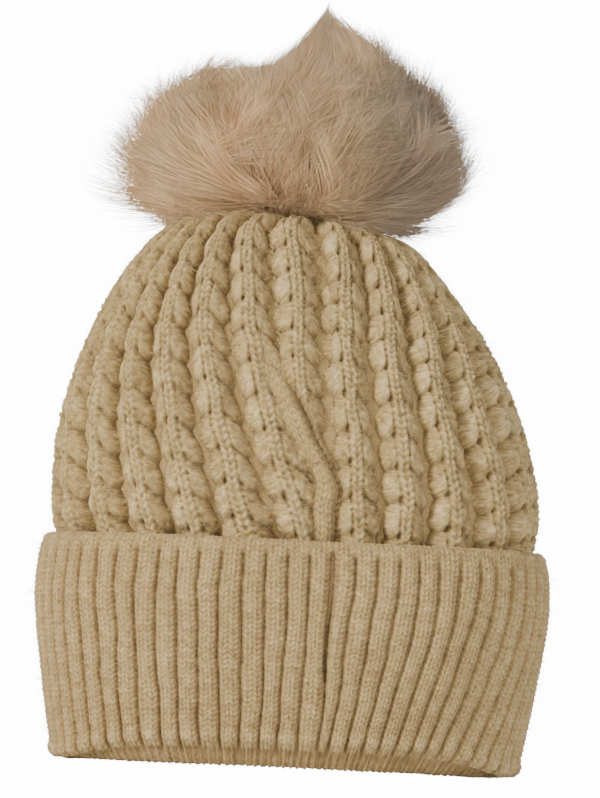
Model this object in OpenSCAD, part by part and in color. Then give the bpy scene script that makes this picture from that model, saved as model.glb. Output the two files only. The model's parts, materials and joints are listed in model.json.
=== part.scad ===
// Pom pom beanie: a knitted crown on a turned-up rib band, with a fleece lining,
// a care label and a faux fur pom that is tied to the crown with an elastic loop.
// Millimetres. +Z is up, the brim rests on z = 0, and the side with the back seam faces -Y.

/* [Band] */
// Outside width of the turned-up rib band
band_w = 200; // [190:1:215]
// Outside depth of the rib band, front to back
band_d = 140; // [134:1:150]
// Height of the turned-up cuff
cuff_h = 88; // [86:1:95]
// Thickness of one layer of rib knit
rib_t = 4.5; // [3.5:0.1:4.5]
// How much narrower the brim is than the widest part, on each side
brim_tuck = 10; // [6:1:12]
// How far the brim rises from the table on the seam side
brim_lift = 8; // [0:1:10]

/* [Crown] */
// Height of the crown's top
crown_top = 219; // [215:1:225]
// Thickness of the crown knit
knit_t = 5; // [4:0.1:5.5]
// Height at which the crown is fullest and the dome starts
full_z = 105; // [100:1:110]
// How far the crown's top leans back
lean = 8; // [0:1:8]
// Shape of the outline seen from above: 2 is an ellipse, more is squarer
squareness = 2.6; // [2.2:0.1:3]
// Radius of the opening that the gathering yarn closes
gather_r = 7; // [6:0.5:8]

/* [Lining] */
// Thickness of the fleece lining
lining_t = 1.5; // [1:0.1:2]
// Height of the lining's lower edge
lining_z = 24; // [22:1:28]

/* [Pom] */
// Radius of the fur ball
pom_r = 58; // [50:1:60]
// Height of the widest part of the fur ball
pom_z = 254; // [252:1:256]
// Height of the fur ball above its widest part
pom_up = 38; // [34:1:40]
// Height of the fur ball below its widest part
pom_down = 22; // [20:0.5:23]
// Radius of the stuffing ball
stuffing_r = 34; // [26:1:36]

/* [Care label] */
// Width of the care label
label_w = 28; // [20:1:30]
// Height of the care label
label_h = 40; // [30:1:40]

/* [Hidden] */
$fn = 64;
eps = 0.01;

knit_colour = [0.80, 0.69, 0.50];
rib_colour = [0.76, 0.65, 0.47];
lining_colour = [0.86, 0.79, 0.66];
fur_colour = [0.83, 0.70, 0.58];
thread_colour = [0.72, 0.61, 0.44];

around = 60;                    // points round the hat
seam_at = 275;                  // angle of the back seam, just right of the middle of -Y
seam_open = 34;                 // the slit's half angle is this over the ring's half width
bulge_z = 65;                   // height at which the cuff is widest
edge_tuck = 2;                  // the cuff's free edge leans in by this much
leaf_gap = 1;                   // between the two layers of the turned-up band
join_z = 79.5;                  // top of the band's inner layer, where the crown is linked on
crown_z = 82.5;                 // lower edge of the crown knit
join_tuck = 4.5;                // how far the inner layer leans in on its way up to the crown
clear = 0.8;                    // between the knit and the lining
dome_power = 1.05;              // shape of the dome's shoulders
dome_rise = 1.12;               // the dome would rise this much, but its top lies flat
flat_blend = 0.08;              // how softly the shoulders turn into the flat top
lining_top = crown_top - 14;    // leaves room for the button between crown and lining
lining_hole_r = 3;
pivot_z = crown_top + 11;       // centre of the tie knot
knot_r = 3.4;
loop_r = 0.9;                   // elastic cord radius
loop_half = 2.5;                // half the distance between the loop's two legs
button_z = crown_top - knit_t - 3.6;
button_t = 2.6;
label_x = 15;
label_y = -band_d / 2 + 20;
label_z = 32;
label_rest = 8;                 // angle at which the label lies along the lining
thread_r = 0.4;

// ---------- outline of the hat ----------

function signed_power(v, p) = sign(v) * pow(abs(v), p);

function smooth(x) = let (c = min(1, max(0, x))) c * c * (3 - 2 * c);

// Follows v up to 1 and stays there, with a soft corner.
function flatten(v) =
    let (h = min(1, max(0, 0.5 + 0.5 * (1 - v) / flat_blend)))
    1 + (v - 1) * h - flat_blend * h * (1 - h);

// Rise of the brim at angle t, which is 0 all round the far side and the ends.
function lift(t) = brim_lift * smooth((-sin(t) - 0.35) / 0.65);

// A ring is [half width, half depth, exponent, height, shift in y].
function ring_point(ring, t) =
    [ring[0] * signed_power(cos(t), 2 / ring[2]),
     ring[1] * signed_power(sin(t), 2 / ring[2]) + ring[4],
     ring[3] + lift(t) * max(0, 1 - ring[3] / cuff_h)];

function wall_ring(inset, z) =
    [band_w / 2 - inset, band_d / 2 - inset, squareness, z, 0];

function dome_ring(inset, top, hole, angle) =
    let (s = pow(max(cos(angle), 0), dome_power))
    [hole + (band_w / 2 - inset - hole) * s,
     hole + (band_d / 2 - inset - hole) * s,
     2 + (squareness - 2) * s,
     full_z + (top - full_z) * flatten(dome_rise * sin(angle)),
     lean * pow(sin(angle), 2)];

// ---------- insets from the widest outline ----------

function cuff_inset(z) =
    z < bulge_z ? brim_tuck * pow(1 - z / bulge_z, 1.3)
                : edge_tuck * pow((z - bulge_z) / (cuff_h - bulge_z), 2);

function leaf_inset(z) =
    cuff_inset(min(z, bulge_z)) + rib_t + leaf_gap + join_tuck * smooth(z / join_z);

function crown_inset(z) =
    rib_t + leaf_gap + (join_tuck - 0.5) * pow(max(0, (full_z - z) / (full_z - crown_z)), 2);

function lining_inset(z) =
    z < crown_z ? leaf_inset(min(z, join_z)) + rib_t + clear
                : crown_inset(z) + knit_t + clear;

// ---------- cloth ----------

// A cloth panel between two stacks of rings, one for each face, from one edge at the seam round
// to the other. With seam = true it is the narrow strip of stitches that fills the slit.
module cloth(outer, inner, seam = false) {
    rows = len(outer);
    cols = seam ? 1 : around;
    both = concat(outer, [for (i = [rows - 1 : -1 : 0]) inner[i]]);
    function half_slit(ring) = seam_open / ring[0];
    function angle_at(ring, j) =
        seam ? seam_at + half_slit(ring) * 0.6 * (2 * j - 1)
             : seam_at + half_slit(ring) + (360 - 2 * half_slit(ring)) * j / cols;
    function at(i, j) = (i % (2 * rows)) * (cols + 1) + j;
    points = [for (ring = both, j = [0 : cols]) ring_point(ring, angle_at(ring, j))];
    skin = [for (i = [0 : 2 * rows - 1], j = [0 : cols - 1], half = [0, 1])
        half == 0 ? [at(i, j), at(i + 1, j), at(i + 1, j + 1)]
                  : [at(i, j), at(i + 1, j + 1), at(i, j + 1)]];
    ends = [for (i = [0 : rows - 2], side = [0, 1], half = [0, 1])
        let (j = side * cols, a = at(i, j), b = at(i + 1, j),
             c = at(2 * rows - 2 - i, j), d = at(2 * rows - 1 - i, j),
             face = half == 0 ? [a, d, c] : [a, c, b])
        side == 0 ? face : [face[2], face[1], face[0]]];
    polyhedron(points = points, faces = concat(skin, ends), convexity = 10);
}

// A closed band of stitches round the hat, between two insets and two heights.
module stitch_ring(inset, thick, z, tall) {
    corners = [[inset, z], [inset, z + tall], [inset + thick, z + tall], [inset + thick, z]];
    function at(i, j) = (i % 4) * around + j % around;
    points = [for (c = corners, j = [0 : around - 1])
        ring_point(wall_ring(c[0], c[1]), 360 * j / around)];
    faces = [for (i = [0 : 3], j = [0 : around - 1], half = [0, 1])
        half == 0 ? [at(i, j), at(i + 1, j), at(i + 1, j + 1)]
                  : [at(i, j), at(i + 1, j + 1), at(i, j + 1)]];
    polyhedron(points = points, faces = faces, convexity = 6);
}

crown_heights = [crown_z, 90, 97];
dome_angles = [0, 13, 26, 38, 49, 58, 65, 72, 81, 90];
cuff_heights = [cuff_h, bulge_z, 44, 26, 12];
leaf_heights = [12, 32, 56, join_z];
lining_heights = concat([lining_z, 40, 60, join_z], crown_heights);

crown_outer = concat(
    [for (z = crown_heights) wall_ring(crown_inset(z), z)],
    [for (a = dome_angles) dome_ring(crown_inset(full_z), crown_top, gather_r, a)]);
crown_inner = concat(
    [for (z = crown_heights) wall_ring(crown_inset(z) + knit_t, z)],
    [for (a = dome_angles)
        dome_ring(crown_inset(full_z) + knit_t, crown_top - knit_t, gather_r, a)]);

// The band is one strip folded at the brim: the cuff comes down outside, turns and goes up inside.
fold = cuff_inset(0);
band_outer = concat(
    [for (z = cuff_heights) wall_ring(cuff_inset(z), z)],
    [for (p = [[-0.9, 5], [1.4, 0.8], [3, 0], [7, 0], [8.6, 0.8], [10.5, 5]])
        wall_ring(fold + p[0], p[1])],
    [for (z = leaf_heights) wall_ring(leaf_inset(z) + rib_t, z)]);
band_inner = concat(
    [for (z = cuff_heights) wall_ring(cuff_inset(z) + rib_t, z)],
    [for (p = [[3.6, 6.4], [4.2, 5], [4.6, 4.5], [5.2, 4.5], [5.6, 5], [5.5, 6.4]])
        wall_ring(fold + p[0], p[1])],
    [for (z = leaf_heights) wall_ring(leaf_inset(z), z)]);

lining_outer = concat(
    [for (z = lining_heights) wall_ring(lining_inset(z), z)],
    [for (a = dome_angles) dome_ring(lining_inset(full_z), lining_top, lining_hole_r, a)]);
lining_inner = concat(
    [for (z = lining_heights) wall_ring(lining_inset(z) + lining_t, z)],
    [for (a = dome_angles)
        dome_ring(lining_inset(full_z) + lining_t, lining_top - lining_t, lining_hole_r, a)]);

module crown_knit() {
    color(knit_colour) cloth(crown_outer, crown_inner);
}

module crown_seam() {
    color(thread_colour) cloth(crown_outer, crown_inner, seam = true);
}

module rib_band() {
    color(rib_colour) cloth(band_outer, band_inner);
}

module band_seam() {
    color(thread_colour) cloth(band_outer, band_inner, seam = true);
}

module lining() {
    color(lining_colour) cloth(lining_outer, lining_inner);
}

module lining_seam() {
    color(thread_colour) cloth(lining_outer, lining_inner, seam = true);
}

// Joins the band's inner layer to the crown, under the cuff.
module linking_seam() {
    color(thread_colour) stitch_ring(leaf_inset(join_z) + 0.5, 3.4, join_z + 0.1, 2.8);
}

// Holds the lining's lower edge to the band.
module lining_hem() {
    color(thread_colour)
        stitch_ring(lining_inset(lining_z) + 0.2, lining_t, lining_z - 1.7, 1.6);
}

// ---------- crown closure ----------

module at_gather(z) {
    translate([0, lean, z]) children();
}

module cord_ring(ring_r, cord_r) {
    rotate_extrude() translate([ring_r, 0]) circle(cord_r);
}

module gather_yarn() {
    color(thread_colour) at_gather(crown_top - knit_t / 2) cord_ring(gather_r - 1.1, 0.9);
}

module lining_top_tie() {
    color(thread_colour) at_gather(lining_top - lining_t - 0.8)
        cylinder(h = lining_t + 1.6, r = lining_hole_r - 0.4);
}

// ---------- care label ----------

// The thread that the label hangs on, with both ends sewn into the lining.
module label_stitches() {
    end_gap = 1;
    stitch_in = 2.4;
    color(thread_colour) translate([label_x, label_y, label_z]) {
        translate([0, 0, -end_gap]) cylinder(h = label_h + 2 * end_gap, r = thread_r);
        for (z = [-end_gap, label_h + end_gap])
            translate([0, 0, z]) rotate([90, 0, 0]) cylinder(h = stitch_in, r = thread_r);
    }
}

module care_label() {
    fold_r = thread_r + 0.45;
    color("white") translate([label_x, label_y, label_z]) rotate([0, 0, label_rest])
        difference() {
            union() {
                cylinder(h = label_h, r = fold_r);
                translate([0, 0.1, 0]) cube([label_w, 0.5, label_h]);
            }
            translate([0, 0, -1]) cylinder(h = label_h + 2, r = thread_r + 0.05);
        }
}

// ---------- pom tie ----------

module half_loop() {
    rotate([90, 0, 0]) rotate_extrude(angle = 180) translate([loop_half, 0]) circle(loop_r);
}

module elastic_loop() {
    low = button_z - 0.7;
    high = pivot_z - knot_r - 0.4 - loop_half - loop_r;
    color("ivory") at_gather(0) {
        for (side = [-1, 1])
            translate([side * loop_half, 0, low]) cylinder(h = high - low, r = loop_r);
        translate([0, 0, high]) half_loop();
        translate([0, 0, low]) mirror([0, 0, 1]) half_loop();
    }
}

module inner_button() {
    hole_r = loop_r + 0.3;
    rim_t = 0.7;
    color("tan") at_gather(button_z) difference() {
        cylinder(h = button_t, r = 9);
        translate([0, 0, button_t - rim_t]) cylinder(h = rim_t + eps, r = 7);
        for (side = [-1, 1])
            translate([side * loop_half, 0, -1]) cylinder(h = button_t + 2, r = hole_r);
    }
}

module felt_washer() {
    color(lining_colour) at_gather(crown_top + 0.5) difference() {
        cylinder(h = 2, r = 15);
        translate([0, 0, -1]) cylinder(h = 4, r = 4.2);
    }
}

module tie_knot() {
    color("ivory") at_gather(pivot_z) sphere(knot_r);
}

// ---------- pom ----------

// Half an egg-shaped outline, blunt below and taller above.
function egg(r, up, down) =
    [for (a = [-90 : 6 : 90]) [max(r * cos(a), 0), (a < 0 ? down : up) * sin(a)]];

module egg_solid(r, up, down) {
    rotate_extrude() polygon(egg(r, up, down));
}

stuffing_z = pom_z + 1;
stuffing_up = 22;
stuffing_down = 17;
drawstring_r = 11;
drawstring_z = pom_z - pom_down + 2.6;

module pom_fur() {
    wall = 0.4;
    color(fur_colour) difference() {
        at_gather(pom_z) egg_solid(pom_r, pom_up, pom_down);
        at_gather(stuffing_z)
            egg_solid(stuffing_r + wall, stuffing_up + wall, stuffing_down + wall);
        at_gather(pivot_z) sphere(knot_r + 0.6);
        at_gather(drawstring_z) cord_ring(drawstring_r, 1.3);
    }
}

module pom_stuffing() {
    color("white") at_gather(stuffing_z) egg_solid(stuffing_r, stuffing_up, stuffing_down);
}

module pom_drawstring() {
    color(thread_colour) at_gather(drawstring_z) cord_ring(drawstring_r, 0.9);
}

crown_knit();
crown_seam();
rib_band();
band_seam();
linking_seam();
gather_yarn();
lining();
lining_seam();
lining_hem();
lining_top_tie();
label_stitches();
care_label();
elastic_loop();
inner_button();
felt_washer();
tie_knot();
pom_fur();
pom_stuffing();
pom_drawstring();
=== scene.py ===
import json
import math

import bpy
import numpy as np
from mathutils import Matrix, Vector


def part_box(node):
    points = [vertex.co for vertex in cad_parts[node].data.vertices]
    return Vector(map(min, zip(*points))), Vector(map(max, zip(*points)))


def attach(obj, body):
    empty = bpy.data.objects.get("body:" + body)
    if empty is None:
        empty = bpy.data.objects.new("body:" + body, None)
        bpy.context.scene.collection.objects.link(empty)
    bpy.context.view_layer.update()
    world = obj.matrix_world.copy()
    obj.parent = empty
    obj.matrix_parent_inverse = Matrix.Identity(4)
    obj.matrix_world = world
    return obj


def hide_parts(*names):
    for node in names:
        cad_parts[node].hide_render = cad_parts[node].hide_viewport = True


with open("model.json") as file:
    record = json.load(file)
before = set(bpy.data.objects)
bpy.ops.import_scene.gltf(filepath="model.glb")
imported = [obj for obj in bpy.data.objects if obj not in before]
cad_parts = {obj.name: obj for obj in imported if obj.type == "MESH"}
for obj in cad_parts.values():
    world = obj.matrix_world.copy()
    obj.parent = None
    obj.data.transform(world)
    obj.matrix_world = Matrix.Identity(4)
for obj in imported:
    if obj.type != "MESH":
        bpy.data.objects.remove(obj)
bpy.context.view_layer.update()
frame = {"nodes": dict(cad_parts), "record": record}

# Everything below is in millimetres until make_mesh() turns it into metres.
MM = 0.001


def node_box(node):
    """A CAD node's lowest and highest corners, in millimetres."""
    return [np.array(corner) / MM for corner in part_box(node)]


# ---------- sizes that the CAD model settles ----------

HALF_W, HALF_D, CUFF_TOP = node_box("rib_band")[1]
CROWN_TOP = node_box("crown_knit")[1][2]
LINING_LOW, LINING_TOP = (corner[2] for corner in node_box("lining"))
KNOT_TOP = node_box("tie_knot")[1][2]

# The outline's shape, as in the CAD model.
RIB_T = 4.5  # thickness of one layer of the rib knit
KNIT_T = 5.0  # thickness of the crown's knit
LEAF_GAP = 1.0  # between the cuff and the layer behind it
BRIM_TUCK = 10.0  # how far the brim draws in below the cuff's widest place
BRIM_LIFT = 8.0  # how far the ribs end above the brim, on the side in view
BULGE_Z = 65.0  # where the cuff is widest
EDGE_TUCK = 2.0  # how far the cuff's free edge draws in
JOIN_Z = 79.5  # where the band's inner layer ends
JOIN_TUCK = 4.5  # how far it draws in there
CROWN_Z = 82.5  # where the crown begins
FULL_Z = 105.0  # where the crown is widest
LEAN = 8.0  # how far back the crown's top sits
SQUARENESS = 2.6  # exponent of the hat's superellipse; 2 is an ellipse
GATHER_R = 7.0
DOME_POWER = 1.05
DOME_RISE = 1.12
FLAT_BLEND = 0.08
CLEAR = 0.8  # between the knit and the lining
SEAM_ANGLE = math.radians(275)

# Only the visible knit does this: its top sags and tilts to the right, and its right side draws in.
SLUMP = 0.10  # mm down for each mm to the right
SAG = 3.5
SLUMP_Z, SLUMP_H = 140, 70  # where the sag begins, and how much higher it is complete
DRAWN_IN = 9.0
DRAWN_Z, DRAWN_H, DRAWN_X = 92, 70, 80

# The knit's scale.
RIBS = 66
WALES_PER_RIB = 2
RIB_ROW = 2.2
STRIP_ROW = 1.25  # a row of the strip below the ribs, before the brim's rise stretches it
RIDGES = 26
PETAL_H = 13.4
SPINE_ROW = 2.7
SEAM_STITCH = 2.9

# How finely the meshes are made.
COLS_BAND, STEP_BAND = 1260, 0.48
COLS_CROWN, STEP_CROWN = 1040, 0.52
COLS_LINING, STEP_LINING = 360, 2.0
COARSE = 1
INNER_STEP = 5  # hidden faces have one row for every so many of the outside
PLAIN_TONE = 0.45


# ---------- small maths ----------

def signed_power(v, p):
    return np.sign(v) * np.abs(v) ** p


def smooth(x):
    c = np.clip(x, 0, 1)
    return c * c * (3 - 2 * c)


def bell(x, width):
    return np.exp(-((x / width) ** 2))


def soft_noise(u, v, cells, seed):
    """Smooth noise in -1..1. It repeats in u every 1, and in v every cells[1] steps of 1."""
    table = np.random.default_rng(seed).uniform(-1, 1, cells)
    x, y = u * cells[0], v
    i, j = np.floor(x).astype(int), np.floor(y).astype(int)
    fx, fy = smooth(x - i), smooth(y - j)
    a, b = i % cells[0], (i + 1) % cells[0]
    c, d = j % cells[1], (j + 1) % cells[1]
    low = table[a, c] * (1 - fx) + table[b, c] * fx
    high = table[a, d] * (1 - fx) + table[b, d] * fx
    return low * (1 - fy) + high * fy


# ---------- outline of the hat, as in the CAD model ----------

def lift(t):
    """Rise of the brim at angle t."""
    return BRIM_LIFT * smooth((-np.sin(t) - 0.35) / 0.65)


def flatten(v):
    h = np.clip(0.5 + 0.5 * (1 - v) / FLAT_BLEND, 0, 1)
    return 1 + (v - 1) * h - FLAT_BLEND * h * (1 - h)


def wall_ring(inset, z, lifted=1.0):
    """A ring: half width, half depth, exponent, height, shift in y and share of the brim's rise."""
    return [HALF_W - inset, HALF_D - inset, SQUARENESS, z, 0, lifted]


def dome_ring(inset, top, hole, angle):
    s = max(math.cos(angle), 0) ** DOME_POWER
    return [hole + (HALF_W - inset - hole) * s,
            hole + (HALF_D - inset - hole) * s,
            2 + (SQUARENESS - 2) * s,
            FULL_Z + (top - FULL_Z) * float(flatten(DOME_RISE * math.sin(angle))),
            LEAN * math.sin(angle) ** 2,
            0]


def cuff_inset(z):
    if z < BULGE_Z:
        return BRIM_TUCK * (1 - z / BULGE_Z) ** 1.3
    return EDGE_TUCK * ((z - BULGE_Z) / (CUFF_TOP - BULGE_Z)) ** 2


def leaf_inset(z):
    return cuff_inset(min(z, BULGE_Z)) + RIB_T + LEAF_GAP + JOIN_TUCK * float(smooth(z / JOIN_Z))


def crown_inset(z):
    return RIB_T + LEAF_GAP + (JOIN_TUCK - 0.5) * max(0, (FULL_Z - z) / (FULL_Z - CROWN_Z)) ** 2


def lining_inset(z):
    if z < JOIN_Z:
        return leaf_inset(z) + RIB_T + CLEAR
    return crown_inset(max(z, CROWN_Z)) + KNIT_T + CLEAR


def resample(rings, step):
    """Rings spaced evenly along the path, step apart, with each ring's distance along it."""
    rings = np.array(rings, float)
    side = np.stack([(rings[:, 0] + rings[:, 1]) / 2, rings[:, 3]], 1)
    along = np.concatenate([[0], np.cumsum(np.linalg.norm(np.diff(side, axis=0), axis=1))])
    distance = np.linspace(0, along[-1], max(2, round(along[-1] / step) + 1))
    spread = [np.interp(distance, along, column) for column in rings.T]
    return np.stack(spread, 1), distance


def surface(rings, cols):
    """Points on each ring, evenly spaced round it from the back seam, and each ring's length."""
    fine = SEAM_ANGLE + np.linspace(0, 2 * math.pi, 4097)
    a, b, n, z, shift, lifted = (column[:, None] for column in rings.T)
    x = a * signed_power(np.cos(fine), 2 / n)
    y = b * signed_power(np.sin(fine), 2 / n)
    steps = np.hypot(np.diff(x, axis=1), np.diff(y, axis=1))
    along = np.concatenate([np.zeros((len(rings), 1)), np.cumsum(steps, axis=1)], 1)
    u = np.arange(cols) / cols
    t = np.stack([np.interp(u * row[-1], row, fine) for row in along])
    x = a * signed_power(np.cos(t), 2 / n)
    y = b * signed_power(np.sin(t), 2 / n) + shift
    rise = lift(t) * lifted * np.maximum(0, 1 - z / CUFF_TOP)
    drop = (SLUMP * x + SAG) * smooth((z - SLUMP_Z) / SLUMP_H)
    x = x - DRAWN_IN * smooth((z - DRAWN_Z) / DRAWN_H) * smooth(x / DRAWN_X)
    return np.stack([x, y, z + rise - drop], 2), along[:, -1]


def grid_normals(points):
    """Unit normals of a grid whose rows run upwards outside, closed along its second axis."""
    across = np.roll(points, -1, 1) - np.roll(points, 1, 1)
    along = np.gradient(points, axis=0)
    n = np.cross(across, along)
    return n / np.maximum(np.linalg.norm(n, axis=2, keepdims=True), 1e-9)


# ---------- meshes ----------

def make_mesh(name, points, faces, colours=None, yarn=None):
    """An object from points in millimetres and faces that all have the same number of corners."""
    mesh = bpy.data.meshes.new(name)
    faces = np.asarray(faces, np.int32)
    mesh.vertices.add(len(points))
    mesh.vertices.foreach_set("co", (np.asarray(points, np.float32) * MM).ravel())
    mesh.loops.add(faces.size)
    mesh.loops.foreach_set("vertex_index", faces.ravel())
    mesh.polygons.add(len(faces))
    mesh.polygons.foreach_set("loop_start", np.arange(0, faces.size, faces.shape[1], dtype=np.int32))
    mesh.update(calc_edges=True)
    mesh.validate()
    mesh.polygons.foreach_set("use_smooth", np.ones(len(mesh.polygons), bool))
    if colours is not None:
        layer = mesh.color_attributes.new("tone", "FLOAT_COLOR", "POINT")
        rgba = np.ones((len(points), 4), np.float32)
        rgba[:, :3] = colours
        layer.data.foreach_set("color", rgba.ravel())
    if yarn is not None:
        layer = mesh.attributes.new("yarn", "FLOAT_VECTOR", "POINT")
        layer.data.foreach_set("vector", np.asarray(yarn, np.float32).ravel())
    obj = bpy.data.objects.new(name, mesh)
    bpy.context.scene.collection.objects.link(obj)
    return obj


def grid_faces(rows, cols, start=0):
    """Quads of a grid that closes on itself along its second axis."""
    i, j = np.meshgrid(np.arange(rows - 1), np.arange(cols), indexing="ij")
    k = (j + 1) % cols
    quads = np.stack([i * cols + j, i * cols + k, (i + 1) * cols + k, (i + 1) * cols + j], -1)
    return quads.reshape(-1, 4) + start


def ring_shell(name, outer, inner, tone, yarn):
    """A closed band of cloth: a detailed outer face and a plain inner one, joined at both edges."""
    count = max(len(inner) // INNER_STEP, 12)
    inner = inner[np.unique(np.linspace(0, len(inner) - 1, count).astype(int))][::-1]
    rows, cols = len(outer) + len(inner), outer.shape[1]
    points = np.concatenate([outer, inner]).reshape(-1, 3)
    shade = np.concatenate([tone, np.full(inner.shape[:2], PLAIN_TONE)]).reshape(-1, 1)
    strands = np.concatenate([yarn, inner]).reshape(-1, 3)
    faces = grid_faces(rows + 1, cols) % (rows * cols)
    return make_mesh(name, points, faces, shade.repeat(3, 1), strands)


def thin_sheet(name, grid, thickness, tone=0.5):
    """A closed leaf of cloth round a grid of points."""
    rows, cols = grid.shape[:2]
    normals = np.cross(np.gradient(grid, axis=0), np.gradient(grid, axis=1))
    normals *= thickness / 2 / np.linalg.norm(normals, axis=2, keepdims=True)
    points = np.concatenate([(grid + normals).reshape(-1, 3), (grid - normals).reshape(-1, 3)])
    index = np.arange(rows * cols).reshape(rows, cols)
    top = np.stack([index[:-1, :-1], index[1:, :-1], index[1:, 1:], index[:-1, 1:]], -1).reshape(-1, 4)
    faces = [top, top[:, ::-1] + rows * cols]
    edge = np.concatenate([index[0, :-1], index[:-1, -1], index[-1, :0:-1], index[:0:-1, 0]])
    after = np.roll(edge, -1)
    faces.append(np.stack([edge, after, after + rows * cols, edge + rows * cols], 1))
    colours = np.full((len(points), 3), tone)
    return make_mesh(name, points, np.concatenate(faces), colours, points)


def finish_piece(piece, body, slot, material, *nodes):
    """Gives a piece its body and material, and hides the CAD nodes that it stands for; slot is not used."""
    piece.data.materials.append(material)
    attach(piece, body)
    if nodes:
        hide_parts(*nodes)
    return piece


# ---------- node materials ----------

def new_material(name):
    material = bpy.data.materials.new(name)
    material.use_nodes = True
    tree = material.node_tree
    return material, tree, tree.nodes["Principled BSDF"]


def add_node(tree, kind, **settings):
    made = tree.nodes.new(kind)
    for key, value in settings.items():
        if key in made.inputs:
            made.inputs[key].default_value = value
        else:
            setattr(made, key, value)
    return made


def noise(tree, coords, scale, detail=3.0, roughness=0.6):
    made = add_node(tree, "ShaderNodeTexNoise", Scale=scale, Detail=detail, Roughness=roughness)
    tree.links.new(coords, made.inputs["Vector"])
    return made.outputs["Fac"]


def ramp(tree, factor, *stops):
    """A colour ramp from (place, colour) stops."""
    made = add_node(tree, "ShaderNodeValToRGB")
    points = made.color_ramp.elements
    while len(points) < len(stops):
        points.new(0.5)
    for point, (place, colour) in zip(points, stops):
        point.position = place
        point.color = (*colour, 1)
    tree.links.new(factor, made.inputs["Fac"])
    return made.outputs["Color"]


def mix(tree, mode, factor, a, b):
    """Mixes two colours; factor is a number or a socket."""
    made = add_node(tree, "ShaderNodeMix", data_type="RGBA", blend_type=mode)
    for socket, value in ((made.inputs[0], factor), (made.inputs[6], a), (made.inputs[7], b)):
        if isinstance(value, bpy.types.NodeSocket):
            tree.links.new(value, socket)
        else:
            socket.default_value = value
    return made.outputs[2]


def bump(tree, height, strength, distance, under=None):
    made = add_node(tree, "ShaderNodeBump", Strength=strength, Distance=distance)
    tree.links.new(height, made.inputs["Height"])
    if under:
        tree.links.new(under, made.inputs["Normal"])
    return made.outputs["Normal"]


def object_coords(tree):
    return add_node(tree, "ShaderNodeTexCoord").outputs["Object"]


def yarn_material(name, dark, mid, light):
    """Acrylic yarn: its colour follows the tone attribute, which holds painted shade and highlight from the
    knit's relief, with fibres along each strand and a soft fuzz.
    """
    material, tree, shader = new_material(name)
    coords = object_coords(tree)
    tone = add_node(tree, "ShaderNodeAttribute", attribute_name="tone").outputs["Color"]
    yarn = add_node(tree, "ShaderNodeAttribute", attribute_name="yarn").outputs["Vector"]
    drawn = add_node(tree, "ShaderNodeMapping", Scale=(1.9, 0.32, 1.0))
    tree.links.new(yarn, drawn.inputs["Vector"])
    strands = noise(tree, drawn.outputs["Vector"], 1.0, 4, 0.65)
    # The tone's painted shade and highlight, turned into colour from dark to light.
    base = ramp(tree, tone, (0.0, dark), (0.5, mid), (1.0, light))
    mottled = ramp(tree, noise(tree, coords, 32, 4), (0.3, (0.86, 0.84, 0.80)), (0.7, (1, 1, 1)))
    drawn_out = ramp(tree, strands, (0.32, (0.66, 0.61, 0.54)), (0.62, (1.0, 1.0, 1.0)))
    fibres = ramp(tree, noise(tree, coords, 2400, 4, 0.8), (0.3, (0.74, 0.70, 0.64)), (0.65, (1, 1, 1)))
    colour = base
    for layer in (mottled, drawn_out, fibres):
        colour = mix(tree, "MULTIPLY", 1.0, colour, layer)
    tree.links.new(colour, shader.inputs["Base Color"])
    coarse = bump(tree, strands, 0.7, 0.0009)
    fine = bump(tree, noise(tree, coords, 3000, 3, 0.8), 0.5, 0.0003, coarse)
    tree.links.new(fine, shader.inputs["Normal"])
    shader.inputs["Roughness"].default_value = 0.92
    shader.inputs["Specular IOR Level"].default_value = 0.15
    shader.inputs["Sheen Weight"].default_value = 0.18
    shader.inputs["Sheen Roughness"].default_value = 0.45
    shader.inputs["Sheen Tint"].default_value = (1.0, 0.90, 0.72, 1)
    return material


def cloth_material(name, dark, light, scale, depth, roughness=0.9, sheen=0.3):
    """Plain cloth, felt, wadding or elastic: two tones of noise and a matching bump."""
    material, tree, shader = new_material(name)
    coords = object_coords(tree)
    grain = noise(tree, coords, scale, 5, 0.7)
    tree.links.new(ramp(tree, grain, (0.3, dark), (0.7, light)), shader.inputs["Base Color"])
    tree.links.new(bump(tree, grain, 0.8, depth), shader.inputs["Normal"])
    shader.inputs["Roughness"].default_value = roughness
    shader.inputs["Specular IOR Level"].default_value = 0.25
    shader.inputs["Sheen Weight"].default_value = sheen
    return material


def fur_material(name, roughness, sheen):
    """Acrylic pile: each hair's tone, which holds its own colour and painted shade on the right side and in a
    streak, with a slight variation from place to place.
    """
    material, tree, shader = new_material(name)
    tone = add_node(tree, "ShaderNodeAttribute", attribute_name="tone").outputs["Color"]
    patches = ramp(tree, noise(tree, object_coords(tree), 45, 3),
                   (0.3, (0.90, 0.87, 0.85)), (0.7, (1, 1, 1)))
    tree.links.new(mix(tree, "MULTIPLY", 1.0, tone, patches), shader.inputs["Base Color"])
    shader.inputs["Roughness"].default_value = roughness
    shader.inputs["Specular IOR Level"].default_value = 0.25
    shader.inputs["Sheen Weight"].default_value = sheen
    shader.inputs["Sheen Roughness"].default_value = 0.5
    shader.inputs["Sheen Tint"].default_value = (1.0, 0.90, 0.80, 1)
    return material


# ---------- camera ----------

PICTURE_H = 798
PICTURE_SCALE = 0.3945  # mm of the hat's middle plane for each picture unit
EYE_DISTANCE = 2600
EYE_HEIGHT = 14
ROLL = math.radians(2.6)
AIM_X = -0.3
AIM_SHARE = 0.667  # the height that the camera aims at, as a share of the crown's top


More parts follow.
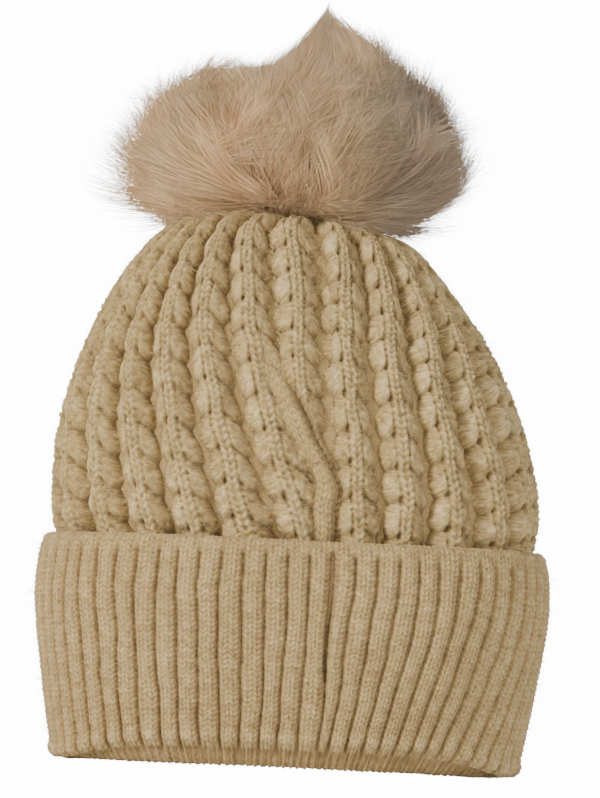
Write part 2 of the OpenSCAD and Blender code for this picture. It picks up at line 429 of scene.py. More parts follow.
def make_camera():
    target = Vector((AIM_X, 0, CROWN_TOP * AIM_SHARE)) * MM
    eye = Vector((AIM_X, -EYE_DISTANCE, EYE_HEIGHT)) * MM
    data = bpy.data.cameras.new("camera")
    camera = bpy.data.objects.new("camera", data)
    data.sensor_fit = "VERTICAL"
    data.sensor_height = 36
    data.lens = data.sensor_height * (target - eye).length / (PICTURE_H * PICTURE_SCALE * MM)
    data.clip_start = 0.01
    turn = (target - eye).to_track_quat("-Z", "Y").to_matrix().to_4x4()
    camera.matrix_world = Matrix.Translation(eye) @ turn @ Matrix.Rotation(ROLL, 4, "Z")
    bpy.context.scene.collection.objects.link(camera)
    bpy.context.scene.camera = camera


make_camera()


# ---------- rib band ----------

EDGE_R = 1.6  # roundness of the cuff's free edge
FOLD_R = 5.2  # roundness of the fold at the brim


def band_path():
    """Rings down the inner layer, round the fold, up the outside and over the cuff's free edge."""
    fold = cuff_inset(0)
    edge_z = CUFF_TOP - EDGE_R
    edge = [wall_ring(cuff_inset(CUFF_TOP) + RIB_T, z) for z in (80, edge_z)]
    edge += [wall_ring(cuff_inset(CUFF_TOP) + RIB_T * (0.5 + 0.5 * math.cos(a)),
                       edge_z + EDGE_R * math.sin(a))
             for a in np.radians(range(20, 161, 20))]
    outside = [wall_ring(cuff_inset(z), z) for z in np.linspace(edge_z, 6, 40)]
    turn = [wall_ring(fold + 5 - 6 * math.cos(a), 5.6 - FOLD_R * math.sin(a),
                      1 - float(smooth((a - 0.5) / 1.1)))
            for a in np.radians(range(8, 173, 12))]
    inside = [wall_ring(leaf_inset(z) + RIB_T, z, 0) for z in np.linspace(7, 34, 12)]
    return (edge + outside + turn + inside)[::-1]


def stitch_v(wale, row):
    """Height, 0 to 1, of knit stitches: two leaf-shaped legs that make a V in each wale."""
    side = np.abs(wale - np.floor(wale) - 0.5)
    leg = np.sqrt(np.sin(math.pi * np.minimum(2 * side, 1)))
    dip = (0.5 - 0.5 * np.cos(2 * math.pi * (row - 1.6 * side))) ** 1.5
    return leg * (1 - dip * (0.5 + 0.5 * bell(side, 0.22)))


def rib_phase(u, v, z, round_mm):
    """Each point's place among the ribs, which bend to the left at the lower right of the seam."""
    right = smooth(u / 0.13) * smooth((0.5 - u) / 0.25)
    step = smooth(u / 0.003) * smooth((0.3 - u) / 0.1)
    skew = (1.5 + 3.5 * step + 12 * right) * np.clip(1 - z / CUFF_TOP, 0, 1) ** 1.6
    wobble = 0.12 * soft_noise(u, v / 30, (40, 12), 1) + 0.05 * soft_noise(u, v / 9, (80, 30), 5)
    return RIBS * (u + skew / round_mm) + wobble


def band_groove(u, z, round_mm):
    """The sunk back seam, 0 to 1. It is widest near the cuff's edge and runs out above the brim."""
    off = np.where(u > 0.5, u - 1, u) * round_mm + 2.2 * np.clip(1 - z / CUFF_TOP, 0, 1)
    return bell(off - 0.4, 1.2 + 0.9 * smooth((z - 40) / 30)) * smooth((z - 12) / 30)


def rib_relief(u, v, z, under, round_mm):
    """Height of the rib knit in mm, its tone and its strands, at u round the hat and v along it. The tone
    holds painted shade in the grooves, between the stitches, in the back seam, on the recessed strip and on
    each rib's right side, and a painted highlight on the knobs above the strip.
    """
    under = smooth((under - 0.1) / 0.25)
    phase = rib_phase(u, v, z, round_mm)
    f = phase - np.floor(phase)
    crest = 0.46
    d = np.where(f < crest, (crest - f) / crest, (f - crest) / (1 - crest))
    body = (1 - d ** 3.4) ** 0.7
    near_edge = smooth((CUFF_TOP - 2.5 - z) / 5)
    groove = near_edge * (1 - under)
    wale = WALES_PER_RIB * (f - 0.5) / 0.86 + 1
    row = v / RIB_ROW + 0.2 * soft_noise(u, v / 9, (120, 40), 2)
    stitches = stitch_v(wale, row)
    small = stitch_v(wale, v / STRIP_ROW)
    fine = 0.5 + 0.5 * np.cos(2 * math.pi * (2.5 * phase + 0.2 * soft_noise(u, v / 7, (90, 30), 6)))
    lumps = soft_noise(u, v / 2.1, (RIBS * 3, 160), 3)
    swell = soft_noise(u, v / 40, (14, 8), 4)
    seam = band_groove(u, z, round_mm) * near_edge
    knob = bell(z - 4.8, 2.4) * (1 - under) * body
    height = 2.7 * (body * groove + (1 - groove) * 0.80) + 0.75 * stitches * (1 - under)
    height += under * (0.5 * fine + 0.6 * small - 1.3) + 1.1 * knob
    height += 0.15 * lumps + 0.45 * swell - 2.3 * seam - 2.0
    # Painted shade: the ribs' crests lighter and their grooves darker.
    shade = 0.16 + 0.42 * (body * groove + (1 - groove) * 0.85)
    # Painted shade between the stitches' legs.
    shade += 0.50 * (stitches - 0.55) * (0.55 + 0.45 * body) * (1 - under)
    # Painted shade on the recessed strip below the ribs.
    shade += under * (0.20 * (fine - 0.6) + 0.35 * (small - 0.6) - 0.14)
    # Painted highlight on the knobs; painted shade in the back seam and on each rib's right side.
    shade += 0.14 * knob - 0.34 * seam - 0.05 * smooth((f - 0.55) / 0.3) * groove
    strands = np.stack([wale * 2.1 + row * 0.25, row * 2.2, np.floor(row) * 1.7 + np.floor(phase) * 3.1], -1)
    return height, np.clip(shade + 0.12 * lumps, 0, 1), strands


def relief_grid(rings, v, cols, relief):
    """The detailed and the plain face of a knit, with the outer one's tone, strands and normals."""
    points, lengths = surface(rings, cols)
    normals = grid_normals(points)
    u = np.broadcast_to(np.arange(cols) / cols, points.shape[:2])
    z, under = (np.broadcast_to(rings[:, k][:, None], u.shape) for k in (3, 5))
    height, tone, strands = relief(u, v[:, None] + 0 * u, z, 1 - under, lengths[:, None])
    return points, normals, height, tone, strands, lengths


def make_band(material):
    rings, v = resample(band_path(), STEP_BAND * COARSE)
    cols = COLS_BAND // COARSE
    points, normals, height, tone, strands, lengths = relief_grid(rings, v, cols, rib_relief)
    outer = points + normals * height[..., None]
    piece = ring_shell("rib_knit", outer, points - normals * 2.6, tone, strands)
    finish_piece(piece, "root", "rib_yarn", material, "rib_band")
    return outer, normals


# ---------- crown ----------

def crown_path():
    """Rings from under the cuff's edge up the wall and over the dome to the gather."""
    wall = [wall_ring(crown_inset(z), z, 0) for z in np.linspace(83, 103, 8)]
    dome = [dome_ring(crown_inset(FULL_Z), CROWN_TOP, GATHER_R, a)
            for a in np.radians(np.linspace(0, 88, 60))]
    return wall + dome


def seam_drift(z):
    """How far the crown's seam has wandered to the left at height z, in mm."""
    return 21 * smooth((z - 106) / 52)


def ridge_place(u, v, z, round_mm):
    """Each point's place among the ridges, how wide a ridge is there, and which side of the seam it is."""
    tight = round_mm / round_mm.max()
    spread = np.maximum(tight - 1, -0.55) * smooth((tight - 0.12) / 0.45)
    turns = u + spread * np.sin(4 * math.pi * u) / (4 * math.pi)
    pitch = round_mm / (RIDGES * (1 + spread * np.cos(4 * math.pi * u)))
    side = np.where(u > 0.5, u - 1, u)
    left = np.where(side * round_mm + seam_drift(z) < 0, 1.0, 0.0)
    fade = 1 - smooth((np.abs(side) - 0.1) / 0.2)
    lean = np.clip((z - 86) / 84, 0, 1) * fade * (0.2 + left)
    wave = 0.11 * soft_noise(u, v / 45, (13, 8), 11) + 0.05 * soft_noise(u, v / 12, (52, 30), 12)
    return RIDGES * turns + lean + wave, pitch, left * np.where(lean > 0, 1, 0)


def crown_relief(u, v, z, round_mm):
    """Height in mm, tone and strands of the wheat-ear knit: spines, wrapped petals, pitted valleys. The tone
    holds painted shade in the holes, dots, pits and creases, lighter ridges and puffs, and right-hand petals
    painted darker than left ones.
    """
    phase, pitch, left_half = ridge_place(u, v, z, round_mm)
    f = phase - np.floor(phase)
    ridge_no = np.floor(phase) - left_half
    across = np.abs(2 * f - 1)
    right = f > 0.5
    out = across * np.minimum(pitch, 20.0) / 2
    shuffle = 2.6 * np.sin(2.4 * ridge_no) + 1.3 * soft_noise(u, v / 25, (26, 16), 13)
    belly = np.where(right, 1.0, 1.8) * (1 - (2 * across - 1) ** 2)
    climb = v + np.where(right, 0.75, 0.45) * out + belly + shuffle
    petal = climb / PETAL_H
    pf = petal - np.floor(petal)
    own = np.sin(12.9 * ridge_no + 7.7 * np.floor(petal) + 3.1 * right)
    edge_mm = np.minimum(pf, 1 - pf) * PETAL_H
    ridge = (1 - across ** 1.9) ** 0.85
    on_petal = smooth((across - 0.22) / 0.14) * smooth((1.0 - across) / 0.22)
    puff = smooth(pf / 0.3) * (1 - 0.7 * smooth((pf - 0.48) / 0.52)) * (1 + 0.22 * own)
    fan = (pf - 0.5) / (0.30 + 0.70 * across)
    strands = np.abs(np.cos(math.pi * (7.0 * fan + 0.5 * own + 0.7 * soft_noise(u, v / 6, (130, 40), 14))))
    on_spine = smooth((0.27 - across) / 0.07)
    spine = stitch_v(0.5 + (f - 0.5) / 0.25, v / SPINE_ROW + 0.15 * soft_noise(u, v / 7, (60, 40), 15))
    hole = np.where(right, 0.4, 1.0) * bell(across - 0.27, 0.08) * bell(edge_mm, 1.5)
    dots = bell(across - 0.27, 0.05) * smooth(np.cos(2 * math.pi * v / SPINE_ROW) - 0.1)
    in_valley = smooth((across - 0.80) / 0.12)
    knots = np.sin(math.pi * out / 0.9 + 1.0) * np.sin(2 * math.pi * v / 2.9 + 2 * np.pi * f) * in_valley
    pit = smooth((across - 0.62) / 0.3) * bell(edge_mm, 2.5)
    crease = on_petal * bell(edge_mm, 0.8) * (0.35 + 0.65 * smooth((across - 0.4) / 0.3))
    lumps = soft_noise(u, v / 2.0, (250, 110), 16)
    grains = soft_noise(u, v / 1.1, (470, 190), 18)
    swell = soft_noise(u, v / 50, (9, 6), 17)
    height = (6.4 * ridge - 5.4 + on_petal * (np.where(right, 1.5, 2.0) * (puff - 0.35) + 0.45 * strands)
              + on_spine * (0.8 * spine + 0.6) - 1.7 * hole - 0.5 * dots - 2.2 * pit - 0.5 * crease
              + 0.6 * knots + 0.5 * lumps + 0.28 * grains + 1.0 * swell)
    # Painted shade and light: ridge tops and puffs lighter; holes, dots, pits and creases darker.
    shade = (0.36 + 0.16 * ridge + on_petal * (0.18 * (puff - 0.4) + 0.30 * (strands - 0.62) + 0.07 * own)
             + on_spine * 0.58 * (spine - 0.52) - 0.75 * hole - 0.38 * dots - 0.5 * pit - 0.2 * crease
             # Painted shade on the right-hand petals and painted light on the left-hand ones.
             - np.where(right, 0.13, -0.05) * on_petal + 0.25 * knots + 0.13 * lumps + 0.20 * grains)
    size = np.clip(pitch / 17, 0.2, 1) * (0.75 + 0.25 * smooth((z - 86) / 8))
    threads = np.stack([fan * PETAL_H * 0.55, out + 0.3 * v, ridge_no * 7.3 + np.floor(petal) * 3.1], -1)
    return height * size, shade, threads


def crown_with_seam(u, v, z, _under, round_mm):
    """The crown's knit with the seam laid over it: small plain stitches and a slanting fold, with painted
    shade in its creases.
    """
    height, shade, threads = crown_relief(u, v, z, round_mm)
    off = np.where(u > 0.5, u - 1, u) * round_mm + seam_drift(z)
    off = off + 1.3 * soft_noise(u, v / 9, (30, 20), 21)
    low = smooth((172 - z) / 24)
    plain = low * smooth((off + 9) / 3) * smooth((4.5 - off) / 2.5)
    small = stitch_v(off / SEAM_STITCH + 0.2 * soft_noise(u, v / 6, (80, 30), 22), v / SPINE_ROW + 0.12 * off)
    roll = low * bell(off + 2.2, 2.6) * smooth((160 - z) / 20)
    crease = low * bell(off - 1.6, 1.5) * smooth((160 - z) / 20)
    second = low * bell(off + 7.5, 0.9) * smooth((120 - z) / 15)
    height = height * (1 - plain) + plain * (-0.3 + 0.7 * small)
    height = height + 1.3 * roll - 2.8 * crease - 1.2 * second
    # Painted shade in the seam's crease and in the fold beside it.
    shade = shade * (1 - plain) + plain * (0.42 + 0.55 * (small - 0.5)) - 0.30 * crease - 0.2 * second
    return height, np.clip(shade, 0, 1), threads


def make_crown(material):
    rings, v = resample(crown_path(), STEP_CROWN * COARSE)
    cols = COLS_CROWN // COARSE
    points, normals, height, tone, strands, lengths = relief_grid(rings, v, cols, crown_with_seam)
    outer = points + normals * height[..., None]
    piece = ring_shell("wheat_ear_knit", outer, points - normals * (KNIT_T - 0.6), tone, strands)
    finish_piece(piece, "root", "crown_yarn", material, "crown_knit")
    return outer, normals


# ---------- yarn ends, seam yarn and hairs ----------

def unit(v):
    return v / np.maximum(np.linalg.norm(v, axis=-1, keepdims=True), 1e-9)


def strand_mesh(name, paths, radius, colours, sides=3, taper=0.6, fibres=False):
    """Closed strands. paths is [strands, points, 3], and each strand ends in a point."""
    count, steps = paths.shape[:2]
    along = unit(np.gradient(paths, axis=1))
    ref = unit(np.cross(along[:, 0], np.array([0.31, 0.52, 0.79])))
    b = unit(np.cross(along, ref[:, None]))
    c = np.cross(along, b)
    t = np.linspace(0, 1, steps)
    thin = (1 - t[:-1]) ** taper * 0.85 + 0.15
    turn = 2 * math.pi * np.arange(sides) / sides
    size = np.asarray(radius)[:, None, None, None] * thin[None, :, None, None]
    ring = (paths[:, :-1, None] + size * (b[:, :-1, None] * np.cos(turn)[None, None, :, None]
                                          + c[:, :-1, None] * np.sin(turn)[None, None, :, None]))
    points = np.concatenate([ring.reshape(count, -1, 3), paths[:, -1:]], 1).reshape(-1, 3)
    per = (steps - 1) * sides + 1
    faces = []
    for i in range(steps - 2):
        for j in range(sides):
            low, high = i * sides, (i + 1) * sides
            k = (j + 1) % sides
            faces += [(low + j, low + k, high + k), (low + j, high + k, high + j)]
    last = (steps - 2) * sides
    faces += [(last + j, last + (j + 1) % sides, per - 1) for j in range(sides)]
    faces += [(0, j + 1, j) for j in range(1, sides - 1)]
    faces = np.array(faces)[None] + (np.arange(count) * per)[:, None, None]
    tone = np.repeat(colours[:, :-1], sides, axis=1)
    tone = np.concatenate([tone, colours[:, -1:]], 1).reshape(-1, 3)
    return make_mesh(name, points, faces.reshape(-1, 3), tone, points if fibres else None)


def make_fuzz(name, slot, outer, normals, count, seed, material):
    """Loose fibre ends that stand off a knit's outside."""
    rng = np.random.default_rng(seed)
    count = count // COARSE
    seen = (outer[..., 2] > 9) & ((normals[..., :2] * outer[..., :2]).sum(-1) > 0)
    row, col = (pick[rng.integers(0, seen.sum(), count)] for pick in np.nonzero(seen))
    root, up = outer[row, col], normals[row, col]
    lean = unit(up * 0.9 + rng.normal(0, 0.6, root.shape))
    curl = rng.normal(0, 0.6, root.shape)
    length = np.minimum(rng.gamma(3.0, 0.8, count), 4.5)[:, None, None]
    t = np.linspace(0, 1, 4)[None, :, None]
    paths = root[:, None] - 0.3 * up[:, None] + (lean[:, None] * t + curl[:, None] * t ** 2 * 0.6) * length
    colours = np.repeat(rng.uniform(0.6, 1.0, (count, 1, 1)), 4, 1).repeat(3, 2)
    piece = strand_mesh(name, paths, rng.uniform(0.05, 0.09, count), colours, fibres=True)
    return finish_piece(piece, "root", slot, material)


def make_seam_yarn(name, slot, node, rings, drift, depth, material):
    """The yarn that closes a back seam, laced from side to side below the surface."""
    rings = resample(rings, 1.6)[0]
    cols = 2048
    points, lengths = surface(rings, cols)
    normals = grid_normals(points)
    zigzag = np.where(np.arange(len(rings)) % 2, 0.9, -0.9)
    at = np.round((zigzag - drift(rings[:, 3])) / lengths * cols).astype(int) % cols
    row = np.arange(len(rings))
    path = points[row, at] - normals[row, at] * depth
    colours = np.full((1, len(path), 3), 0.4)
    piece = strand_mesh(name, path[None], [0.8], colours, sides=6, taper=0.05, fibres=True)
    return finish_piece(piece, "root", slot, material, node)


rib_yarn = yarn_material("rib_yarn", (0.23, 0.155, 0.07), (0.52, 0.375, 0.175), (0.79, 0.635, 0.36))
crown_yarn = yarn_material("crown_yarn", (0.24, 0.165, 0.075), (0.57, 0.42, 0.19), (0.90, 0.73, 0.42))
band_outer, band_normals = make_band(rib_yarn)
crown_outer, crown_normals = make_crown(crown_yarn)
make_fuzz("rib_fuzz", "rib_yarn", band_outer, band_normals, 11000, 31, rib_yarn)
make_fuzz("crown_fuzz", "crown_yarn", crown_outer, crown_normals, 30000, 32, crown_yarn)
make_seam_yarn("band_seam_yarn", "thread", "band_seam", band_path(), lambda z: 0 * z, 3.0, rib_yarn)
make_seam_yarn("crown_seam_yarn", "thread", "crown_seam", crown_path(), seam_drift, 3.6, crown_yarn)


# ---------- faux fur pom ----------

FUR_SEED = 41
HAIRS, GUARD_HAIRS = 62000, 14000
TUFTS, GUARD_TUFTS, CLUMPS = 620, 260, 60
FUR_PIECES = 8
POM_CENTRE = np.array([-3.0, 6.0, 242.0])
POM_FLOOR = KNOT_TOP + 0.8
FUR_SIDE, FUR_DEPTH, FUR_UP, FUR_DOWN = 65, 47, 36, 32
SPIKE = np.array([4.5, -6.0, 305.0])
SPIKE_H, SPIKE_R = 21.0, 15  # how tall the pointed tuft is, and from how far it draws hairs
SHADE_STREAK = (0.28, -0.95, 0.0)  # the direction of a streak of painted shade, as a parting in the pile would show, in the side in view

# Where the pile is fuller or thinner than an egg shape: a direction, how many mm, and how wide.
FUR_LUMPS = (((0.45, -0.1, 0.90), 13, 0.50), ((-0.42, -0.1, 0.90), -4, 0.25),
             ((-0.80, -0.1, 0.50), 7, 0.32), ((0.80, -0.1, -0.60), 5, 0.45),
             ((-0.2, -0.95, 0.1), 3, 0.35), ((0.30, -0.95, 0.05), -4, 0.20),
             ((0.1, 0.9, 0.4), 4, 0.5), ((-0.5, 0.8, -0.2), -3, 0.3),
             ((-0.88, -0.1, -0.4), 14, 0.45), ((-1.0, 0.0, 0.1), 3, 0.4))

# What the pile is combed towards: a direction, how strongly, and from how far.
FUR_PULLS = (((0.06, -0.18, 1.0), 1.3, 0.95), ((-1.0, -0.15, 0.15), 1.1, 0.75),
             ((0.95, 0.0, -0.05), 0.7, 0.65), ((-0.1, -0.15, -1.0), -1.0, 3.0))
FUR_BIAS = np.array([0.35, 0.0, 0.0])

PEACH = np.array([0.76, 0.475, 0.235])
ROOT = np.array([0.36, 0.205, 0.11])
PALE = np.array([0.90, 0.65, 0.365])
# The colour of the painted shade on the pom's right side.
SHADE_GREY = np.array([0.27, 0.21, 0.165])
DARK_TIP = np.array([0.07, 0.045, 0.038])


def directions(count, rng):
    """Evenly spread unit vectors, a little shaken."""
    k = np.arange(count) + 0.5
    z = 1 - 2 * k / count
    turn = math.pi * (1 + 5 ** 0.5) * k
    flat = np.sqrt(1 - z * z)
    points = np.stack([flat * np.cos(turn), flat * np.sin(turn), z], 1)
    return unit(points + rng.normal(0, 0.5 / math.sqrt(count), points.shape))


def fur_reach(n):
    """How far the dense fur reaches from the pom's centre, in direction n."""
    x, y, z = n.T
    up = np.where(z > 0, FUR_UP, FUR_DOWN)
    reach = 1 / np.sqrt((x / FUR_SIDE) ** 2 + (y / FUR_DEPTH) ** 2 + (z / up) ** 2)
    for place, size, width in FUR_LUMPS:
        reach = reach + size * bell(np.linalg.norm(n - unit(np.array(place)), axis=1), width)
    return reach


def comb(n):
    """The way the pile lies at n: along the surface, and shorter where two ways part."""
    flow = np.tile(FUR_BIAS, (len(n), 1))
    for place, weight, width in FUR_PULLS:
        gap = unit(np.array(place)) - n
        flow = flow + gap * (weight * bell(np.linalg.norm(gap, axis=1), width))[:, None]
    flow = flow - n * (flow * n).sum(1, keepdims=True)
    return flow / np.maximum(np.linalg.norm(flow, axis=1, keepdims=True), 0.35)


def nearest_of(n, seeds):
    """Which seed direction each direction is closest to."""
    return np.concatenate([np.argmax(part @ seeds.T, axis=1) for part in np.array_split(n, 40)])


def hair_paths(n, rng, tufts, arc, rise, steps=6):
    """Hairs that rise out of the pile and lie down along it in tufts and clumps, and how light each is."""
    tuft = nearest_of(n, directions(tufts, rng))
    clump = nearest_of(n, directions(CLUMPS, rng))
    shake = rng.normal(0, 0.26, (tufts, 3))[tuft] + rng.normal(0, 0.18, n.shape)
    shake = shake + rng.normal(0, 0.24, (CLUMPS, 3))[clump]
    flow = comb(n) + shake
    bend = np.cross(n, flow) * rng.normal(0, 0.45, tufts)[tuft][:, None]
    t = np.linspace(0, 1, steps)[None, :, None]
    ray = unit(n[:, None] + (flow[:, None] * t + bend[:, None] * t ** 2) * arc[:, None, None])
    reach = fur_reach(ray.reshape(-1, 3)).reshape(*ray.shape[:2], 1)
    plump = 1 + 0.045 * rng.normal(0, 1, tufts)[tuft][:, None, None]
    rise = np.minimum(rise + rng.exponential(0.055, tufts)[tuft], 0.3)
    depth = (0.60 + 0.33 * t ** 0.65) * plump + rise[:, None, None] * t ** 2
    paths = POM_CENTRE + ray * reach * depth
    tips = paths[:, -1]
    heart = np.zeros((tufts, 3))
    np.add.at(heart, tuft, tips)
    heart /= np.maximum(np.bincount(tuft, minlength=tufts), 1)[:, None]
    gather = rng.uniform(0.1, 0.6, len(n))[:, None, None] * t ** 1.8
    paths = paths + (heart[tuft] - tips)[:, None] * gather
    return paths, rng.uniform(0.8, 1.12, tufts)[tuft] * rng.uniform(0.84, 1.1, CLUMPS)[clump]


def to_spike(paths, rng):
    """Draws the hairs near the pom's highest point up into one pointed tuft."""
    tip = paths[:, -1]
    foot = SPIKE - np.array([1.0, 0, SPIKE_H])
    near = bell(np.linalg.norm((tip - foot) * np.array([1, 0.6, 1.0]), axis=1), SPIKE_R)
    t = np.linspace(0, 1, paths.shape[1])[None, :, None]
    high = rng.beta(1.5, 1.1, len(tip))[:, None]
    goal = foot + (SPIKE - foot) * high + rng.normal(0, 5.0, tip.shape) * (1.08 - high) ** 1.6
    return paths + (goal - tip)[:, None] * t ** 1.3 * near[:, None, None]


def keep_off_crown(paths):
    """Bends hairs that would dip into the crown outwards along its top."""
    x, y, z = paths[..., 0], paths[..., 1] - LEAN, paths[..., 2]
    s = np.clip(np.hypot(x / HALF_W, y / HALF_D) * 1.06, 0, 1)
    rise = np.sqrt(1 - s ** (2 / DOME_POWER))
    floor = FULL_Z + (CROWN_TOP - FULL_Z) * flatten(DOME_RISE * rise) + 3.0 - SAG - SLUMP * x
    lifted = np.maximum(z, floor + 0.12 * (z - floor))
    return np.stack([paths[..., 0], paths[..., 1], lifted], -1)


def hair_colours(paths, rng, tipped, lock):
    """Colour at each point of each hair: darker root, peach middle, pale or dark tip, with painted shade
    greying the hairs whose tips lie on the right.
    """
    t = np.linspace(0, 1, paths.shape[1])[None, :, None]
    tip = paths[:, -1]
    # Painted shade: hairs whose tips lie to the right are greyed.
    right = smooth((tip[:, 0] - 12) / 34)[:, None, None]
    colour = ROOT + (PEACH - ROOT) * smooth(t / 0.45)
    colour = colour + (PALE - colour) * smooth((t - 0.5) / 0.4)
    colour = colour + (SHADE_GREY - colour) * 0.76 * right
    dark = tipped[:, None, None] * smooth((t - 0.55) / 0.4)
    colour = colour + (DARK_TIP - colour) * dark
    return np.clip(colour * lock[:, None, None] * rng.uniform(0.88, 1.1, (len(paths), 1, 1)), 0, 1)


def make_fur(material):
    rng = np.random.default_rng(FUR_SEED)
    count = HAIRS // COARSE
    n = directions(count, rng)[rng.permutation(count)]
    paths, lock = hair_paths(n, rng, TUFTS, rng.uniform(0.3, 0.85, count), rng.exponential(0.05, count))
    paths = keep_off_crown(to_spike(paths, rng))
    rim = smooth((-n[:, 0] - 0.45) / 0.4) + smooth((n[:, 2] - 0.6) / 0.4)
    tipped = (rng.random(count) < 0.08 + 0.22 * rim) * rng.uniform(0.5, 1.0, count)
    # Painted shade: hairs that point near the streak are darker.
    from_shade_streak = (n - unit(np.array(SHADE_STREAK))) * np.array([1.3, 1, 0.7])
    lock = lock * (1 - 0.35 * bell(np.linalg.norm(from_shade_streak, axis=1), 0.17))
    colours = hair_colours(paths, rng, tipped, lock)
    radius = rng.uniform(0.10, 0.17, count) * math.sqrt(COARSE)
    for k, part in enumerate(np.array_split(np.arange(count), FUR_PIECES)):
        piece = strand_mesh(f"fur_pile_{k + 1}", paths[part], radius[part], colours[part])
        finish_piece(piece, "pom", "faux_fur", material, "pom_fur")


def make_guard_hairs(material):
    """Sparse long hairs with dark tips that stand out of the pile, most of them on the left."""
    rng = np.random.default_rng(FUR_SEED + 1)
    n = directions(GUARD_HAIRS, rng)
    wanted = 0.22 + 0.78 * smooth((-n[:, 0] - 0.35) / 0.5) + 0.35 * smooth((n[:, 2] - 0.3) / 0.5)
    n = n[rng.random(len(n)) < wanted]
    left = smooth((-n[:, 0] - 0.45) / 0.5)
    rise = rng.uniform(0.03, 0.18, len(n)) + left * rng.uniform(0.0, 0.16, len(n))
    paths, lock = hair_paths(n, rng, GUARD_TUFTS, rng.uniform(0.3, 0.7, len(n)), rise)
    paths = keep_off_crown(to_spike(paths, rng))
    tipped = rng.uniform(0.4, 1.0, len(n)) * (0.5 + 0.5 * left)
    colours = hair_colours(paths, rng, tipped, lock)
    piece = strand_mesh("guard_hairs", paths, rng.uniform(0.10, 0.16, len(n)), colours)
    finish_piece(piece, "pom", "faux_fur", material)


def ball(name, centre, share, lumps, seed):
    """A lumpy closed ball, as large as this share of the fur's reach."""
    rows, cols = 60, 120
    polar = np.linspace(0.02, math.pi - 0.02, rows)[:, None]
    turn = np.linspace(0, 2 * math.pi, cols, endpoint=False)[None]
    n = np.stack([np.sin(polar) * np.cos(turn), np.sin(polar) * np.sin(turn), np.cos(polar) + 0 * turn], 2)
    u = np.broadcast_to(np.arange(cols) / cols, (rows, cols))
    rough = 1 + lumps * soft_noise(u, np.arange(rows)[:, None] / 5 + 0 * u, (14, 12), seed)
    reach = fur_reach(n.reshape(-1, 3)).reshape(rows, cols) * share * rough
    points = centre + n * reach[..., None]
    points[..., 2] = np.maximum(points[..., 2], POM_FLOOR)
    grid = grid_faces(rows, cols)[:, ::-1]
    j = np.arange(cols)
    k = (j + 1) % cols
    top, bottom = rows * cols, rows * cols + 1
    caps = [np.stack([np.full(cols, top), j, k], 1),
            np.stack([np.full(cols, bottom), (rows - 1) * cols + k, (rows - 1) * cols + j], 1)]
    faces = np.concatenate([grid[:, [0, 1, 2]], grid[:, [0, 2, 3]], *caps])
    ends = np.stack([points[0].mean(0), points[-1].mean(0)])
    points = np.concatenate([points.reshape(-1, 3), ends])
    return make_mesh(name, points, faces, np.tile(ROOT * 1.5, (len(points), 1)))


def make_pom_core(fur_look, filling):
    backing = ball("fur_backing", POM_CENTRE, 0.66, 0.02, 51)
    finish_piece(backing, "pom", "faux_fur", fur_look, "pom_fur")
    wadding = ball("fibre_wadding", POM_CENTRE + np.array([0, 0, 1.0]), 0.56, 0.06, 52)
    finish_piece(wadding, "pom", "fibrefill", filling, "pom_stuffing")


fur = fur_material("faux_fur", 0.8, 0.25)
cloths = {name: cloth_material(name, *look) for name, look in {
    "thread": ((0.36, 0.25, 0.11), (0.56, 0.42, 0.22), 2200, 0.0003),
    "fleece": ((0.52, 0.41, 0.26), (0.74, 0.62, 0.44), 1300, 0.0006),
    "label_satin": ((0.72, 0.71, 0.68), (0.86, 0.85, 0.82), 3000, 0.0001, 0.45, 0.1),
    "elastic": ((0.50, 0.43, 0.31), (0.74, 0.67, 0.53), 2600, 0.0002),
    "button_plastic": ((0.38, 0.27, 0.13), (0.48, 0.36, 0.20), 300, 0.0001, 0.35, 0.0),
    "felt": ((0.45, 0.34, 0.20), (0.62, 0.50, 0.33), 1500, 0.0004),
    "fibrefill": ((0.74, 0.74, 0.73), (0.90, 0.90, 0.89), 700, 0.0008)}.items()}
make_pom_core(fur, cloths["fibrefill"])
make_fur(fur)
make_guard_hairs(fur)


# ---------- lining and care label ----------

def make_lining(material):
    """A thin fleece tube that narrows to its top tie, with the soft folds of loose cloth."""
    walls = [wall_ring(lining_inset(z), z, 0) for z in np.linspace(LINING_LOW, FULL_Z - 1, 20)]
    dome = [dome_ring(lining_inset(FULL_Z), LINING_TOP, 3.0, a) for a in np.radians(np.linspace(0, 88, 40))]
    rings, v = resample(walls + dome, STEP_LINING)
    points, lengths = surface(rings, COLS_LINING)
    normals = grid_normals(points)
    u = np.broadcast_to(np.arange(COLS_LINING) / COLS_LINING, points.shape[:2])
    folds = soft_noise(u, v[:, None] / 60 + 0 * u, (22, 6), 61) * smooth((v - 4) / 25)[:, None] - 0.6
    outer = points + normals * (np.minimum(folds, 0) * 1.6)[..., None]
    tone = np.full(u.shape, 0.5)
    piece = ring_shell("fleece_lining", outer, outer - normals * 1.2, tone, outer)
    finish_piece(piece, "root", "fleece", material, "lining")


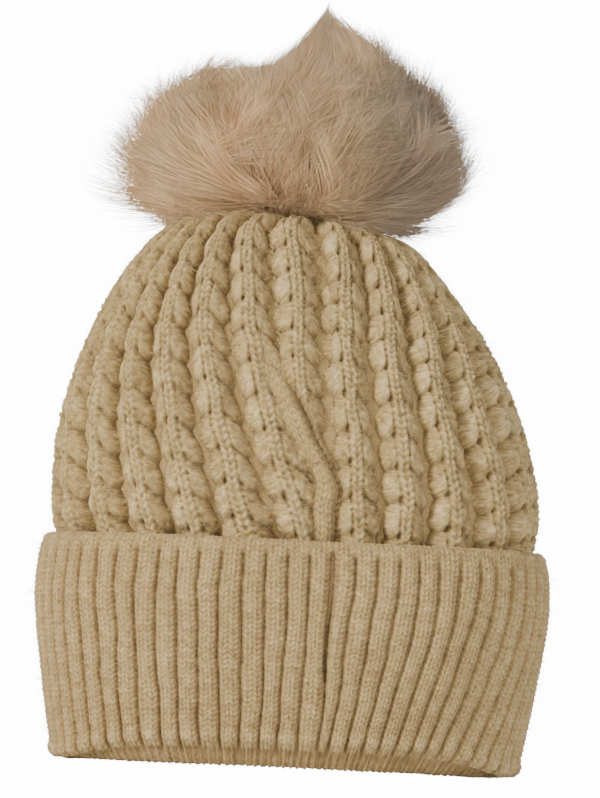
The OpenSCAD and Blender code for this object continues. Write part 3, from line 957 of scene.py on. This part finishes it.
def make_label(material):
    """A blank satin label, folded round its thread, with both leaves lying along the lining."""
    label_low, label_high = node_box("care_label")
    stitch_low, stitch_high = node_box("label_stitches")
    thread = (stitch_low + stitch_high) / 2
    thread[1] = stitch_low[1] + 0.4
    reach = label_high[0] - thread[0]
    leaf = np.linspace(reach, 1.2, 24)
    bend = np.radians(np.linspace(50, 310, 12))
    wave = 0.12 * np.sin(leaf / 4.5)
    along = np.concatenate([leaf, 0.75 * np.cos(bend), leaf[::-1]])
    out = np.concatenate([0.62 + wave, 0.75 * np.sin(bend) + 0.06 * (1 - np.cos(bend - 0.9)),
                          (0.12 + wave)[::-1]])
    turn = math.radians(8)
    x = thread[0] + along * math.cos(turn) - out * math.sin(turn)
    y = thread[1] + along * math.sin(turn) + out * math.cos(turn)
    z = np.linspace(label_low[2], label_high[2], 30)
    grid = np.stack(np.broadcast_arrays(x[:, None], y[:, None], z[None]), -1)
    piece = thin_sheet("satin_label", grid, 0.2)
    finish_piece(piece, "label", "label_satin", material, "care_label")


def dress_cad_nodes():
    """Gives each CAD node that is still shown its slot's material."""
    slots = {row["node"]: row["material_slot"] for row in frame["record"]["subparts"]}
    looks = {**cloths, "crown_yarn": crown_yarn, "rib_yarn": rib_yarn, "faux_fur": fur}
    for name, obj in frame["nodes"].items():
        obj.data.materials.clear()
        obj.data.materials.append(looks[slots[name]])


make_lining(cloths["fleece"])
make_label(cloths["label_satin"])
dress_cad_nodes()


# ---------- floor and light, in metres ----------

def floor_material():
    """Plain pale paper that looks evenly lit in the picture, and still shows soft shadows."""
    material, tree, shader = new_material("floor")
    speckle = noise(tree, object_coords(tree), 3)
    tree.links.new(ramp(tree, speckle, (0.3, (0.90, 0.90, 0.90)), (0.7, (0.92, 0.92, 0.92))),
                   shader.inputs["Base Color"])
    shader.inputs["Roughness"].default_value = 0.95
    shader.inputs["Specular IOR Level"].default_value = 0.1
    shader.inputs["Emission Color"].default_value = (14, 14, 14, 1)
    seen = add_node(tree, "ShaderNodeLightPath").outputs["Is Camera Ray"]
    tree.links.new(seen, shader.inputs["Emission Strength"])
    return material


def make_stage():
    """A floor that curves up into a backdrop all round, so that no horizon shows."""
    flat, curve = 6.0, 1.5
    rows = [(r, 0.0) for r in (0.001, 1.0, 3.0, flat)]
    rows += [(flat + curve * math.sin(a), curve - curve * math.cos(a)) for a in np.radians(range(10, 91, 10))]
    rows += [(flat + curve, 6.0)]
    cols = 96
    turn = 2 * math.pi * np.arange(cols) / cols
    points = np.array([[r * np.cos(turn), r * np.sin(turn), z + 0 * turn] for r, z in rows])
    points = points.transpose(0, 2, 1).reshape(-1, 3) / MM
    floor = make_mesh("floor", points, grid_faces(len(rows), cols))
    floor.data.materials.append(floor_material())


LIGHT_AIM = Vector((0, 0, 0.15))


def area_light(name, place, size, power, colour):
    data = bpy.data.lights.new(name, "AREA")
    data.shape = "DISK"
    data.size = size
    data.energy = power
    data.color = colour
    light = bpy.data.objects.new(name, data)
    aim = LIGHT_AIM - Vector(place)
    light.matrix_world = Matrix.Translation(place) @ aim.to_track_quat("-Z", "Y").to_matrix().to_4x4()
    bpy.context.scene.collection.objects.link(light)


def make_lights():
    area_light("key", (-1.6, -1.3, 1.1), 0.55, 62, (1.0, 0.96, 0.88))
    area_light("fill", (1.3, -1.9, 0.6), 1.4, 20, (0.97, 0.98, 1.0))
    area_light("low", (0.2, -2.3, 0.06), 0.12, 7, (1.0, 0.97, 0.92))
    area_light("top", (-0.2, 0.5, 2.0), 1.2, 10, (1.0, 0.98, 0.95))
    area_light("back", (0.8, 2.0, 1.0), 1.2, 34, (1.0, 0.98, 0.95))
    world = bpy.data.worlds.new("studio")
    world.use_nodes = True
    sky = world.node_tree.nodes["Background"]
    sky.inputs["Color"].default_value = (1, 1, 1, 1)
    sky.inputs["Strength"].default_value = 0.6
    bpy.context.scene.world = world


make_stage()
make_lights()
